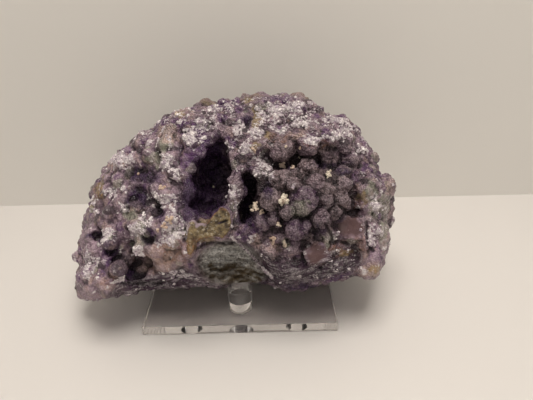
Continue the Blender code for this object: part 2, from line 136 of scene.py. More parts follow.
# Outline of the tan blade of matrix, as it is seen.
BLADE = (
    (-27.2, -17.6), (-25.4, -16.9), (-24.5, -16.6), (-22.4, -19.3), (-20.0, -18.9), (-18.1, -18.9),
    (-16.2, -17.3), (-14.3, -15.2), (-11.8, -12.6), (-9.3, -10.5), (-7.3, -11.4), (-5.6, -12.7),
    (-4.6, -15.2), (-4.1, -18.1), (-4.5, -20.8), (-5.3, -22.9), (-7.2, -25.3), (-9.2, -27.1),
    (-11.6, -26.2), (-14.0, -26.0), (-17.4, -26.6), (-20.9, -26.9), (-23.7, -29.5),
    (-24.2, -32.0), (-24.8, -33.8), (-26.2, -35.2), (-27.6, -35.3), (-28.4, -33.6), (-28.5, -31.5),
    (-27.6, -28.0), (-27.3, -24.6), (-27.6, -21.2),
)
BLADE_FRONT = 38.5
BLADE_BACK = 30.0

# Crack in the blade, as its middle (u, v), half length, half width and slope.
BLADE_CRACK = (-8.6, -18.1, 3.1, 0.8, 0.31)

# Crumbs on the face, as (u, v, radius, grains, peach share of a cream crumb).
CRUMBS = (
    (24.6, -6.2, 3.0, 34, 0.1), (8.8, -10.2, 2.8, 24, 0.5), (12.4, -13.5, 1.4, 6, 0.6),
    (48.6, 6.4, 2.0, 16, 0.2), (24.2, 11.9, 2.0, 14, 0.8), (29.6, 10.2, 1.3, 6, 0.8),
    (21.4, -20.0, 1.6, 8, 0.4), (18.4, -27.6, 1.8, 10, 0.9), (24.4, -30.3, 1.9, 10, 0.3),
    (-53.0, 8.8, 1.0, 4, 1.0), (-32.0, 40.0, 1.3, 5, 0.4), (-40.6, 0.8, 2.0, 8, 0.9),
    (-37.2, -15.4, 2.3, 10, 0.9), (-40.0, -19.0, 1.7, 7, 1.0), (-13.4, 0.7, 0.9, 3, 0.1),
    (33.2, 15.8, 0.7, 2, 0.5), (26.2, 21.6, 0.7, 3, 0.6), (33.8, 21.2, 0.7, 3, 0.6),
    (9.0, 21.0, 1.8, 7, 0.9), (-43.0, -21.8, 1.2, 4, 0.9),
)

# Larger knobs that stand out on the face, as (u, v, radius, violet share).
FACE_KNOBS = (
    (16.3, -6.5, 5.3, 0.0), (34.9, -8.2, 6.4, 0.5), (11.5, -19.0, 4.3, 0.4), (18.1, -16.4, 3.2, 0.3),
    (28.7, -23.5, 4.9, 0.6), (35.6, -21.0, 3.8, 0.6), (43.3, -16.3, 4.8, 0.3), (21.2, -20.6, 2.0, 0.2),
    (46.8, -26.0, 4.3, 0.1), (54.8, -6.5, 5.1, 0.0), (58.3, 0.9, 4.3, 0.0), (49.5, -0.6, 4.3, 0.0),
    (37.1, 10.6, 4.9, 0.0), (23.9, 19.4, 6.4, 0.1), (50.4, 15.4, 5.6, 0.0), (61.0, 14.1, 4.6, 0.1),
    (21.2, 4.3, 4.8, 0.0), (30.2, 1.6, 3.9, 0.1), (41.5, 2.5, 4.6, 0.2), (46.8, -8.6, 3.8, 0.1),
    (53.0, -14.4, 4.0, 0.0), (25.8, -13.6, 3.7, 0.1), (5.0, -17.6, 3.3, 0.8), (3.1, -2.0, 3.2, 0.9),
    (15.0, -34.6, 4.6, 0.1), (29.4, -31.4, 3.6, 0.2), (39.8, 20.4, 5.2, 0.4), (22.0, -27.6, 3.4, 0.3),
    (57.0, 8.0, 3.6, 0.0), (29.4, 8.6, 3.2, 0.0), (-64.5, -42.0, 4.3, 0.0), (-60.5, -36.0, 4.3, 0.0),
    (-54.0, -32.6, 3.5, 0.6), (-46.6, -12.0, 4.2, 0.1), (-56.0, -10.0, 3.8, 0.1), (-52.6, -42.0, 3.4, 0.0),
    (-39.5, 24.0, 3.2, 0.0), (-50.0, -22.0, 3.2, 0.0), (-69.0, -28.0, 4.0, 0.0), (-35.0, 8.0, 3.6, 0.1),
    (-24.0, 24.5, 4.2, 0.4), (73.5, -38.5, 5.0, 0.5), (66.5, -31.0, 3.6, 0.2), (82.0, -0.5, 3.6, 0.2),
)

# Flat-faced crystals, as (u, v, half width, half height, turn on the face in degrees).
FLAT_CRYSTALS = (
    (60.5, -23.0, 6.4, 5.2, 14.0), (41.5, -37.0, 6.0, 4.0, 28.0),
)

# Pale edge of the broken matrix, clefts that are grooved in and given painted shade (the first one is the
# painted shadow under the blade), and layers of the foot, as lines of points on the face.
ARCH_RIM = (
    (-4.6, -26.0), (-0.1, -29.5), (4.1, -33.9), (8.3, -38.3), (12.5, -43.7), (17.2, -48.1),
)
SHADED_CLEFTS = (
    ((-22.4, -32.0), (-18.0, -29.6), (-13.0, -28.8), (-8.0, -29.6), (-3.4, -29.4)),
    ((68.6, -20.0), (68.9, -31.6), (72.0, -35.0)),
    ((46.5, -20.5), (50.0, -26.5), (49.5, -31.0), (54.0, -30.0), (58.0, -31.4)),
    ((54.5, -11.0), (59.0, -15.0), (64.0, -13.5)),
)
LAYERS = (
    ((8.9, -38.5), (15.0, -43.5), (22.1, -47.0), (35.4, -45.4), (48.6, -42.0), (60.0, -38.0)),
    ((-62.6, -56.0), (-45.0, -52.0), (-30.0, -49.0), (-14.0, -52.5)),
)

# The fibres of the broken matrix run around this (u, v), on curves drawn out sideways.
FIBRE_ROOT = (-5.0, -66.0)
FIBRE_STRETCH = 1.35
FIBRE_RADIUS = 30.0

# Kinds of small knobs
PLAIN, FROSTED, CLEAR, GRASSY, SMOKY = range(5)

# The stone stays smooth within this reach of a peg's middle and this height over its top.
PEGS = ("front_peg", "left_rear_peg", "right_rear_peg")
SEAT_REACH = 8.6 * MM
SEAT_HEIGHT = 3.0 * MM

# Where the camera stood, in metres, and how it was turned, in degrees.
CAMERA_AT = (0.0137, -0.2185, 0.1805)
CAMERA_PITCH, CAMERA_ROLL, CAMERA_YAW = 29.3, -1.08, -0.38


def lean_to_world(places):
    """World places in metres of an array of leaning-frame places in millimetres."""
    places = np.asarray(places, float)
    u, v, w = places[..., 0:1], places[..., 1:2], places[..., 2:3]
    return (STONE_ORIGIN + u * U_AXIS + v * V_AXIS + w * W_AXIS) * MM


def world_to_lean(points):
    """Leaning-frame places in millimetres of an array of world places in metres."""
    away = np.asarray(points, float) / MM - STONE_ORIGIN
    return np.stack([away @ U_AXIS, away @ V_AXIS, away @ W_AXIS], axis=-1)


def seen(u, v, w):
    """Leaning-frame place at depth w on the sight line through (u, v, 0)."""
    here = np.array([u, v, 0.0])
    return here + (EYE - here) * (w / EYE[2])


def on_face(points):
    """The (u, v) where the sight line of each world place crosses the face plane, and its depth w."""
    lean = world_to_lean(points)
    share = EYE[2] / (EYE[2] - lean[:, 2])
    u = EYE[0] + (lean[:, 0] - EYE[0]) * share
    v = EYE[1] + (lean[:, 1] - EYE[1]) * share
    return u, v, lean[:, 2]


def ease(low, high, value):
    """Smooth step from 0 at low to 1 at high, or the other way round where high is the smaller."""
    share = np.clip((value - low) / (high - low), 0.0, 1.0)
    return share * share * (3.0 - 2.0 * share)


def noise_at(points, size, seed=0.0, detail=0):
    """Noise from -1 to 1 at world places, with features of this size in millimetres."""
    scaled = points / (size * MM) + seed
    if detail:
        return np.array([noise.fractal(p, 0.9, 2.0, detail) for p in scaled.tolist()])
    return np.array([noise.noise(p) for p in scaled.tolist()])


def bubbles_at(points, size, seed=0.0):
    """Round bumps side by side at world places, from 0 in their gaps to 1 on top, this size in mm."""
    scaled = points / (size * MM) + seed
    away = np.array([noise.voronoi(p)[0][0] for p in scaled.tolist()])
    return 1.0 - np.clip(away / 0.8, 0.0, 1.0) ** 2


def patch_cover(name, u, v, soft=0.35):
    """How far each face place lies inside the named markings, from 0 to 1."""
    cover = np.zeros(len(u))
    for cu, cv, half_width, half_height in PATCHES[name]:
        reach = np.hypot((u - cu) / half_width, (v - cv) / half_height)
        cover = np.maximum(cover, ease(1.0 + soft, 1.0 - soft, reach))
    return cover


# Colours and settings


def colour(code):
    """Linear RGBA of an sRGB hex colour."""
    parts = [int(code[i : i + 2], 16) / 255.0 for i in (1, 3, 5)]
    linear = [c / 12.92 if c <= 0.04045 else ((c + 0.055) / 1.055) ** 2.4 for c in parts]
    return (*linear, 1.0)


def tone(name, code, words):
    """A colour setting with an sRGB hex default."""
    return FloatVectorProperty(
        name=name, description=words, default=colour(code), size=4, subtype="COLOR", min=0.0, max=1.0
    )


class SpecimenLook(bpy.types.PropertyGroup):
    crust_dark: tone("Crust, dark", "#412a3e", "Darker smoky crust")
    crust_light: tone("Crust, light", "#8f7787", "Lighter grey purple crust")
    lilac: tone("Lilac", "#ceb2c1", "Pale pink-lilac mottling")
    smoky: tone("Smoky", "#453a40", "Smoky glossy knobs")
    violet: tone("Violet", "#5d316d", "Clear violet knobs")
    green: tone("Green", "#b0b29c", "Pale grey-green patches")
    brown_dark: tone("Brown, dark", "#1c1317", "Darker knobs of the right recess")
    brown_light: tone("Brown, light", "#a58e91", "Lighter knobs of the right recess")
    rosy: tone("Rosy", "#d0b3aa", "Pink-brown crust")
    facet: tone("Facets", "#5f4847", "Brown flat crystal faces")
    # Painted highlight on the tips of knobs, where the skin stands out.
    tip_highlight: tone("Tips", "#c4b0b8", "Worn tips of knobs")
    # Painted shade in the hollows and under ledges, in deep violet.
    dark: tone("Dark", "#3a234a", "Dark violet of the hollows")
    frost_shade: tone("Frost, shade", "#a998a6", "Lilac side of the frost")
    frost: tone("Frost", "#f3eceb", "White side of the frost")
    # Painted shade in crevices, between knobs and along clefts; random grit specks take this colour too.
    crevice_shade: tone("Crevice", "#160d13", "Dirt between knobs")
    rock_dark: tone("Rock, dark", "#6a5b43", "Darker broken matrix")
    rock_light: tone("Rock, light", "#efedea", "Pale fibrous part of the matrix")
    tan_dark: tone("Tan, dark", "#433528", "Darker patches of the blade")
    tan: tone("Tan", "#978460", "Olive tan of the blade")
    rust: tone("Rust", "#97673f", "Orange weathered rim")
    cream: tone("Cream", "#fbf1de", "Cream crumbs")
    peach: tone("Peach", "#c9a28f", "Peach crumbs")
    acrylic: tone("Acrylic", "#fffdfd", "Clear acrylic")


class SpecimenShape(bpy.types.PropertyGroup):
    seed: IntProperty(name="Seed", default=6354, description="Start of the random draws")
    skin_step: FloatProperty(
        name="Skin step", default=0.74 * MM, unit="LENGTH", description="Size of the skin's faces"
    )
    skin_faces: IntProperty(
        name="Skin faces", default=190000, description="Triangles left once the back is coarser"
    )
    knob_tries: IntProperty(name="Knob tries", default=7000, description="Places tried for knobs")
    knob_packing: FloatProperty(
        name="Knob packing", default=0.66, description="Least distance over the two knobs' radii"
    )
    parting: FloatProperty(
        name="Knob parting", default=0.5, description="How much deeper the gaps between knobs get"
    )
    crystals: IntProperty(name="Crystals", default=1500, description="Number of small cubes")
    polished_edge: FloatProperty(
        name="Polished edge", default=0.3 * MM, unit="LENGTH", description="Rounding of the stand"
    )


class SpecimenStage(bpy.types.PropertyGroup):
    floor: tone("Floor", "#e2dedb", "Pale table top")
    wall: tone("Wall", "#efece7", "Warm grey backdrop")
    light: tone("Light", "#fff8ee", "Warm white of the lamps")
    wall_distance: FloatProperty(
        name="Wall distance", default=0.103, unit="LENGTH", description="From the stand's centre"
    )
    table_gap: FloatProperty(
        name="Table gap", default=0.15 * MM, unit="LENGTH", description="Air under the base"
    )
    ceiling_power: FloatProperty(
        name="Ceiling light", default=6.2, unit="POWER", description="Strength of the light above"
    )
    room_power: FloatProperty(
        name="Room light", default=1.4, unit="POWER", description="Strength of the light in front"
    )
    room_strength: FloatProperty(name="Room strength", default=0.22, description="Of the world")
    lens: FloatProperty(
        name="Lens", default=31.745, unit="CAMERA", description="Focal length in millimetres"
    )


# Materials

# Masks written on the stone, four to a colour attribute.
MASKS = {
    "zones_a": ("frost", "dark", "brown", "rosy"),
    "zones_b": ("violet", "green", "tan", "rock"),
    "relief": ("tip_highlight", "crevice_shade", "tint", "smoky"),
    "finish": ("plain", "layers", "waxy", "stain"),
}


def node(tree, kind, inputs=None, **settings):
    """Adds a node. Each input takes a value or another node's socket."""
    made = tree.nodes.new(kind)
    for name, value in settings.items():
        setattr(made, name, value)
    for key, value in (inputs or {}).items():
        if isinstance(value, bpy.types.NodeSocket):
            tree.links.new(value, made.inputs[key])
        else:
            made.inputs[key].default_value = value
    return made


def blank_material(name):
    material = bpy.data.materials.new(name)
    material.use_nodes = True
    material.node_tree.nodes.clear()
    return material, material.node_tree


def grains(tree, place, sizes):
    """Mottling from 0 to 1 at each size in millimetres."""
    found = []
    for size, low, high in sizes:
        inputs = {"Vector": place, "Scale": 1.0 / (size * MM), "Detail": 3.0, "Roughness": 0.6}
        value = node(tree, "ShaderNodeTexNoise", inputs).outputs[0]
        inputs = {"Value": value, "From Min": low, "From Max": high}
        found.append(node(tree, "ShaderNodeMapRange", inputs, clamp=True).outputs[0])
    return found


def layered(tree, base, layers):
    """Colour built up from the base by (mask, share, colour) layers."""
    for mask, share, top in layers:
        amount = node(tree, "ShaderNodeMath", {0: mask, 1: share}, operation="MULTIPLY").outputs[0]
        inputs = {0: amount, 6: base, 7: top}
        base = node(tree, "ShaderNodeMix", inputs, data_type="RGBA").outputs[2]
    return base


def finish_material(tree, inputs):
    shader = node(tree, "ShaderNodeBsdfPrincipled", inputs)
    node(tree, "ShaderNodeOutputMaterial", {"Surface": shader.outputs[0]})


def stone_masks(tree):
    """The masks written on the stone, by name."""
    mask = {}
    for layer, names in MASKS.items():
        painted = node(tree, "ShaderNodeAttribute", attribute_name=layer)
        parts = node(tree, "ShaderNodeSeparateColor", {0: painted.outputs["Color"]}).outputs
        mask.update(zip(names, [*parts, painted.outputs["Alpha"]]))
    return mask


def fluorite_material(look):
    """Botryoidal fluorite: waxy smoky to violet knobs, painted shade between them, sugary white crystals.
    """
    material, tree = blank_material("Botryoidal fluorite crust")
    place = node(tree, "ShaderNodeTexCoord").outputs["Object"]
    mask = stone_masks(tree)
    sizes = (
        (6.0, 0.38, 0.62), (3.6, 0.46, 0.60), (2.3, 0.38, 0.62), (0.9, 0.38, 0.62), (1.3, 0.47, 0.55)
    )
    cloud, vein, fleck, speck, grit = grains(tree, place, sizes)

    # Grains 0.9 mm wide, as coarse as they need to be to show, with faces that lean their own ways.
    inputs = {"Vector": place, "Scale": 1.0 / (0.9 * MM)}
    cells = node(tree, "ShaderNodeTexVoronoi", inputs).outputs
    # Painted shade darkens the gaps between the grains, less where the crust is waxy.
    inputs = {"Value": cells["Distance"], "From Min": 0.25, "From Max": 0.75}
    gap = node(tree, "ShaderNodeMapRange", inputs, clamp=True).outputs[0]
    inputs = {0: mask["waxy"], 1: -0.85, 2: 1.0}
    grainy = node(tree, "ShaderNodeMath", inputs, operation="MULTIPLY_ADD").outputs[0]
    gap = node(tree, "ShaderNodeMath", {0: gap, 1: grainy}, operation="MULTIPLY").outputs[0]

    # Streaks along the fibres of the broken matrix and along the layers of the foot.
    run = node(tree, "ShaderNodeAttribute", attribute_name="run").outputs["Vector"]
    (streak,) = grains(tree, run, ((1.0 / MM, 0.46, 0.57),))
    inputs = {0: streak, 1: mask["layers"]}
    banded = node(tree, "ShaderNodeMath", inputs, operation="MULTIPLY").outputs[0]
    inputs = {0: fleck, 1: mask["stain"]}
    rusty = node(tree, "ShaderNodeMath", inputs, operation="MULTIPLY").outputs[0]

    # Frost breaks up into flecks towards its edges.
    inputs = {0: fleck, 1: 0.6, 2: mask["frost"]}
    ragged = node(tree, "ShaderNodeMath", inputs, operation="MULTIPLY_ADD").outputs[0]
    inputs = {0: speck, 1: 0.25, 2: ragged}
    ragged = node(tree, "ShaderNodeMath", inputs, operation="MULTIPLY_ADD").outputs[0]
    inputs = {"Value": ragged, "From Min": 0.85, "From Max": 1.20}
    frosty = node(tree, "ShaderNodeMapRange", inputs, clamp=True).outputs[0]

    layers = [
        (cloud, 0.7, look.crust_light),
        (vein, 0.5, look.lilac),
        (mask["tint"], 0.45, look.lilac),
    ]
    crust = layered(tree, look.crust_dark, layers)
    layers = [
        (mask["tint"], 0.75, look.brown_light),
        (fleck, 0.55, look.brown_light),
        # random grit specks, in the colour of the painted shade in crevices
        (grit, 0.4, look.crevice_shade),
    ]
    knob = layered(tree, look.brown_dark, layers)
    layers = [
        (mask["tint"], 1.0, look.rock_light),
        (streak, 0.35, look.rock_dark),
        # random grit specks, in the colour of the painted shade in crevices
        (grit, 0.4, look.crevice_shade),
    ]
    fibres = layered(tree, look.rock_dark, layers)
    white = layered(tree, look.frost_shade, [(speck, 1.0, look.frost)])
    layers = [
        (mask["smoky"], 0.85, look.smoky),
        (mask["brown"], 0.95, knob),
        (mask["violet"], 0.85, look.violet),
        (mask["green"], 0.6, look.green),
        (mask["rosy"], 0.85, look.rosy),
        # painted highlight on the knobs' tips
        (mask["tip_highlight"], 0.35, look.tip_highlight),
        # painted shade in the hollows and under ledges
        (mask["dark"], 0.9, look.dark),
        (mask["layers"], 0.9, look.crust_dark),
        (banded, 0.5, white),
        # painted shade in the gaps between grains
        (gap, 0.6, look.crevice_shade),
        (mask["tan"], 0.75, look.tan),
        (rusty, 0.4, look.rust),
        (mask["plain"], 0.9, look.facet),
        (frosty, 0.95, white),
        (mask["rock"], 1.0, fibres),
        # painted shade in crevices, between the large knobs and along the clefts
        (mask["crevice_shade"], 0.85, look.crevice_shade),
    ]
    base = layered(tree, crust, layers)

    # The grains' own leans turn the normal, less so where the crust is waxy.
    inputs = {0: cells["Color"], 1: (0.5, 0.5, 0.5)}
    lean = node(tree, "ShaderNodeVectorMath", inputs, operation="SUBTRACT").outputs[0]
    inputs = {0: frosty, 1: 0.25, 2: 0.2}
    reach = node(tree, "ShaderNodeMath", inputs, operation="MULTIPLY_ADD").outputs[0]
    reach = node(tree, "ShaderNodeMath", {0: reach, 1: grainy}, operation="MULTIPLY").outputs[0]
    inputs = {0: lean, "Scale": reach}
    lean = node(tree, "ShaderNodeVectorMath", inputs, operation="SCALE").outputs[0]
    normal = node(tree, "ShaderNodeNewGeometry").outputs["Normal"]
    normal = node(tree, "ShaderNodeVectorMath", {0: normal, 1: lean}, operation="ADD").outputs[0]
    normal = node(tree, "ShaderNodeVectorMath", {0: normal}, operation="NORMALIZE").outputs[0]
    height = node(tree, "ShaderNodeMath", {0: fleck, 1: grainy}, operation="MULTIPLY").outputs[0]
    inputs = {0: streak, 1: mask["rock"], 2: height}
    height = node(tree, "ShaderNodeMath", inputs, operation="MULTIPLY_ADD").outputs[0]
    inputs = {"Strength": 0.75, "Distance": 0.7 * MM, "Height": height, "Normal": normal}
    bump = node(tree, "ShaderNodeBump", inputs).outputs[0]
    inputs = {"Strength": 0.9, "Distance": 0.4 * MM, "Height": gap, "Normal": bump}
    bump = node(tree, "ShaderNodeBump", inputs, invert=True).outputs[0]

    inputs = {0: frosty, 1: 0.25, 2: 0.25}
    rough = node(tree, "ShaderNodeMath", inputs, operation="MULTIPLY_ADD").outputs[0]
    inputs = {0: mask["rock"], 1: 0.45, 2: rough}
    rough = node(tree, "ShaderNodeMath", inputs, operation="MULTIPLY_ADD").outputs[0]
    finish_material(tree, {"Base Color": base, "Roughness": rough, "IOR": 1.43, "Normal": bump})
    return material


def matrix_material(look):
    """Iron-stained matrix, broken: dull olive tan with an orange weathered rim."""
    material, tree = blank_material("Iron-stained matrix")
    place = node(tree, "ShaderNodeTexCoord").outputs["Object"]
    painted = node(tree, "ShaderNodeAttribute", attribute_name="blade").outputs["Color"]
    rim, crack_shade, frost = node(tree, "ShaderNodeSeparateColor", {0: painted}).outputs
    sizes = ((3.0, 0.34, 0.58), (2.0, 0.52, 0.60), (1.3, 0.54, 0.64), (0.8, 0.38, 0.62))
    cloud, pit, glint, speck = grains(tree, place, sizes)
    stain = layered(tree, look.tan_dark, [(speck, 1.0, look.rust)])
    layers = [
        (cloud, 0.85, look.tan),
        (pit, 0.6, look.tan_dark),
        (glint, 0.25, look.cream),
        (rim, 0.85, stain),
        (frost, 0.8, look.frost_shade),
        # painted shade in the crack
        (crack_shade, 1.0, look.crevice_shade),
    ]
    base = layered(tree, look.tan_dark, layers)
    height = node(tree, "ShaderNodeMath", {0: speck, 1: cloud}, operation="ADD").outputs[0]
    inputs = {"Strength": 0.7, "Distance": 0.35 * MM, "Height": height}
    bump = node(tree, "ShaderNodeBump", inputs).outputs[0]
    finish_material(tree, {"Base Color": base, "Roughness": 0.7, "IOR": 1.5, "Normal": bump})
    return material


def crystal_material(look):
    """Colourless to lilac fluorite cubes: flat glassy faces that glint."""
    material, tree = blank_material("Small fluorite cubes")
    place = node(tree, "ShaderNodeTexCoord").outputs["Object"]
    (mottle,) = grains(tree, place, ((2.5, 0.38, 0.62),))
    base = layered(tree, look.frost_shade, ((mottle, 1.0, look.frost),))
    finish_material(tree, {"Base Color": base, "Roughness": 0.2, "IOR": 1.43})
    return material


def crumb_material(look):
    """Calcite and clay crumbs: chalky cream with peach stains."""
    material, tree = blank_material("Chalky calcite crumbs")
    place = node(tree, "ShaderNodeTexCoord").outputs["Object"]
    stain, speck = grains(tree, place, ((3.0, 0.50, 0.64), (0.7, 0.38, 0.62)))
    peach = node(tree, "ShaderNodeAttribute", attribute_name="peach").outputs["Fac"]
    layers = [(peach, 0.7, look.peach), (stain, 0.6, look.peach), (speck, 0.3, look.tan_dark)]
    base = layered(tree, look.cream, layers)
    finish_material(tree, {"Base Color": base, "Roughness": 0.6, "IOR": 1.49})
    return material


def acrylic_material(look):
    """Cast acrylic, flame polished: clear, with crisp highlights."""
    material, tree = blank_material("Clear cast acrylic")
    inputs = {"Base Color": look.acrylic, "Roughness": 0.0, "IOR": 1.49, "Transmission Weight": 1.0}
    finish_material(tree, inputs)
    return material


def table_material(stage):
    """Satin laminate: pale, with a wide dull shine."""
    material, tree = blank_material("Satin laminate table")
    place = node(tree, "ShaderNodeTexCoord").outputs["Object"]
    (mottle,) = grains(tree, place, ((60.0, 0.3, 0.7),))
    inputs = {0: mottle, 1: 0.03, 2: 0.40}
    rough = node(tree, "ShaderNodeMath", inputs, operation="MULTIPLY_ADD").outputs[0]
    finish_material(tree, {"Base Color": stage.floor, "Roughness": rough, "IOR": 1.5})
    return material


def wall_material(stage):
    """Matt painted wall that is clear from its back, so that the stone shows from there."""
    material, tree = blank_material("Matt painted wall")
    front = node(tree, "ShaderNodeBsdfDiffuse", {"Color": stage.wall}).outputs[0]
    clear = node(tree, "ShaderNodeBsdfTransparent").outputs[0]
    side = node(tree, "ShaderNodeNewGeometry").outputs["Backfacing"]
    chosen = node(tree, "ShaderNodeMixShader", {0: side, 1: front, 2: clear})
    node(tree, "ShaderNodeOutputMaterial", {"Surface": chosen.outputs[0]})
    return material


# Modelling helpers


def select_only(obj):
    """Object mode, with this object alone selected and active."""
    if bpy.context.mode != "OBJECT":
        bpy.ops.object.mode_set(mode="OBJECT")
    bpy.ops.object.select_all(action="DESELECT")
    obj.select_set(True)
    bpy.context.view_layer.objects.active = obj


def with_modifier(obj, kind, **settings):
    """Adds a modifier with these settings and applies it."""
    select_only(obj)
    modifier = obj.modifiers.new(kind.title(), kind)
    for name, value in settings.items():
        setattr(modifier, name, value)
    bpy.ops.object.modifier_apply(modifier=modifier.name)


def merge_and_face_outwards(obj, distance=1e-6):
    select_only(obj)
    bpy.ops.object.mode_set(mode="EDIT")
    bpy.ops.mesh.select_all(action="SELECT")
    bpy.ops.mesh.remove_doubles(threshold=distance)
    bpy.ops.mesh.normals_make_consistent(inside=False)
    bpy.ops.object.mode_set(mode="OBJECT")


def finish_shape(obj, name):
    """Names the piece and puts its place into its mesh."""
    select_only(obj)
    bpy.ops.object.transform_apply(location=True, rotation=True, scale=True)
    obj.name = name
    obj.data.name = name
    return obj


def mesh_arrays(mesh):
    """Vertex places and triangles of a mesh as arrays."""
    points = np.empty(len(mesh.vertices) * 3)
    mesh.vertices.foreach_get("co", points)
    mesh.calc_loop_triangles()
    triangles = np.empty(len(mesh.loop_triangles) * 3, np.int64)
    mesh.loop_triangles.foreach_get("vertices", triangles)
    return points.reshape(-1, 3), triangles.reshape(-1, 3)


def vertex_normals(mesh):
    normals = np.empty(len(mesh.vertices) * 3, np.float32)
    mesh.vertex_normals.foreach_get("vector", normals)
    return normals.reshape(-1, 3).astype(float)


def push_skin(obj, points, normals, push):
    """Moves each vertex along its normal by its own distance, and gives the new places."""
    points = points + normals * push[:, None]
    obj.data.vertices.foreach_set("co", points.ravel())
    obj.data.update()
    return points


def write_attribute(mesh, name, kind, values):
    """Writes a value for each vertex, for a material to read by this name."""
    field = {"FLOAT": "value", "FLOAT_VECTOR": "vector", "FLOAT_COLOR": "color"}[kind]
    painted = mesh.attributes.new(name, kind, "POINT")
    painted.data.foreach_set(field, values.astype(np.float32).ravel())


def linked_object(name, mesh):
    """A new object of this mesh in the scene."""
    obj = bpy.data.objects.new(name, mesh)
    bpy.context.scene.collection.objects.link(obj)
    return obj


def object_from_arrays(name, points, faces):
    mesh = bpy.data.meshes.new(name)
    mesh.from_pydata(points.tolist(), [], faces.tolist())
    mesh.update()
    return linked_object(name, mesh)


def template_of(primitive, **settings):
    """Places and triangles of a primitive of unit size."""
    bpy.ops.object.select_all(action="DESELECT")
    primitive(**settings)
    made = bpy.context.object
    arrays = mesh_arrays(made.data)
    bpy.data.objects.remove(made, do_unlink=True)
    return arrays


def joined_copies(name, template, centres, matrices):
    """One mesh of many copies of a template, each with its own 3 by 3 matrix and centre."""
    points, triangles = template
    placed = np.einsum("nij,kj->nki", matrices, points) + centres[:, None, :]
    shifts = (np.arange(len(centres)) * len(points))[:, None, None]
    return object_from_arrays(name, placed.reshape(-1, 3), (triangles[None] + shifts).reshape(-1, 3))


def random_turns(rng, count):
    """Evenly random rotation matrices."""
    q = rng.normal(size=(count, 4))
    q /= np.linalg.norm(q, axis=1, keepdims=True)
    w, x, y, z = q.T
    rows = [
        [1 - 2 * (y * y + z * z), 2 * (x * y - z * w), 2 * (x * z + y * w)],
        [2 * (x * y + z * w), 1 - 2 * (x * x + z * z), 2 * (y * z - x * w)],
        [2 * (x * z - y * w), 2 * (y * z + x * w), 1 - 2 * (x * x + y * y)],
    ]
    return np.array(rows).transpose(2, 0, 1)


def surface_samples(rng, points, triangles, count):
    """Random places and normals spread evenly over a surface."""
    a, b, c = (points[triangles[:, i]] for i in range(3))
    cross = np.cross(b - a, c - a)
    area = np.linalg.norm(cross, axis=1)
    picked = rng.choice(len(area), size=count, p=area / area.sum())
    r, s = rng.random(count), rng.random(count)
    flip = r + s > 1
    r[flip], s[flip] = 1 - r[flip], 1 - s[flip]
    places = a[picked] + r[:, None] * (b - a)[picked] + s[:, None] * (c - a)[picked]
    return places, cross[picked] / area[picked][:, None]


def spaced_out(places, radii, packing):
    """Indexes of the balls kept so that none lies nearer than packing times their two radii."""
    cell = 2 * radii.max()
    grid = {}
    kept = []
    for i, (place, radius) in enumerate(zip(places, radii)):
        key = tuple((place // cell).astype(int))
        near = [
            j
            for dx in (-1, 0, 1)
            for dy in (-1, 0, 1)
            for dz in (-1, 0, 1)
            for j in grid.get((key[0] + dx, key[1] + dy, key[2] + dz), ())
        ]
        if all(np.linalg.norm(places[j] - place) > packing * (radii[j] + radius) for j in near):
            grid.setdefault(key, []).append(i)
            kept.append(i)
    return np.array(kept)


def neighbour_means(values, edges, rounds):
    """Values averaged with their neighbours along the edges, a number of times."""
    ends = np.concatenate([edges[:, 0], edges[:, 1]])
    others = np.concatenate([edges[:, 1], edges[:, 0]])
    count = np.bincount(ends, minlength=len(values)).clip(1)[:, None]
    for _ in range(rounds):
        totals = [np.bincount(ends, weights=part, minlength=len(values)) for part in values[others].T]
        values = 0.5 * values + 0.5 * np.stack(totals, axis=1) / count
    return values


# Stone


def near_a_peg(points):
    """True where a place lies low and close to a peg, so that the seats stay flat."""
    close = np.zeros(len(points), bool)
    for name in PEGS:
        low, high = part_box(name)
        middle = (low + high) / 2
        away = np.hypot(points[:, 0] - middle.x, points[:, 1] - middle.y)
        close |= (away < SEAT_REACH) & (points[:, 2] < high.z + SEAT_HEIGHT)
    return close


def mesh_edges(mesh):
    edges = np.empty(len(mesh.edges) * 2, np.int64)
    mesh.edges.foreach_get("vertices", edges)
    return edges.reshape(-1, 2)


def part_knobs(stone, shape):
    """Lifts what stands out a little and sinks what lies low, so that the large knobs part."""
    points, _ = mesh_arrays(stone.data)
    normals = vertex_normals(stone.data)
    relief = ((points - neighbour_means(points, mesh_edges(stone.data), 30)) * normals).sum(1)
    push = np.clip(relief * shape.parting, -1.2 * MM, 0.5 * MM)
    push[near_a_peg(points)] = 0.0
    push_skin(stone, points, normals, push)


def bare_places(points):
    """How bare of knobs a place is: broken matrix, smooth facets and seats."""
    u, v, w = on_face(points)
    slab = (u < -62.0) & (v < -46.0)
    cover = np.max([patch_cover("rock", u, v), patch_cover("facet", u, v), 0.8 * slab], axis=0)
    return np.maximum(cover * ease(-8.0, -2.0, w), near_a_peg(points))


def thin_the_back(stone, shape):
    """Keeps the faces fine where the viewer looks and makes the others coarser."""
    points, triangles = mesh_arrays(stone.data)
    sight = lean_to_world(EYE) - points
    facing = (vertex_normals(stone.data) * sight).sum(1) / np.linalg.norm(sight, axis=1)
    hidden = (facing < -0.2) | (world_to_lean(points)[:, 2] < -14.0)
    group = stone.vertex_groups.new(name="hidden")
    group.add(np.flatnonzero(hidden).tolist(), 1.0, "REPLACE")
    ratio = min(1.0, shape.skin_faces / len(triangles))
    with_modifier(stone, "DECIMATE", ratio=ratio, vertex_group=group.name)
    stone.vertex_groups.clear()


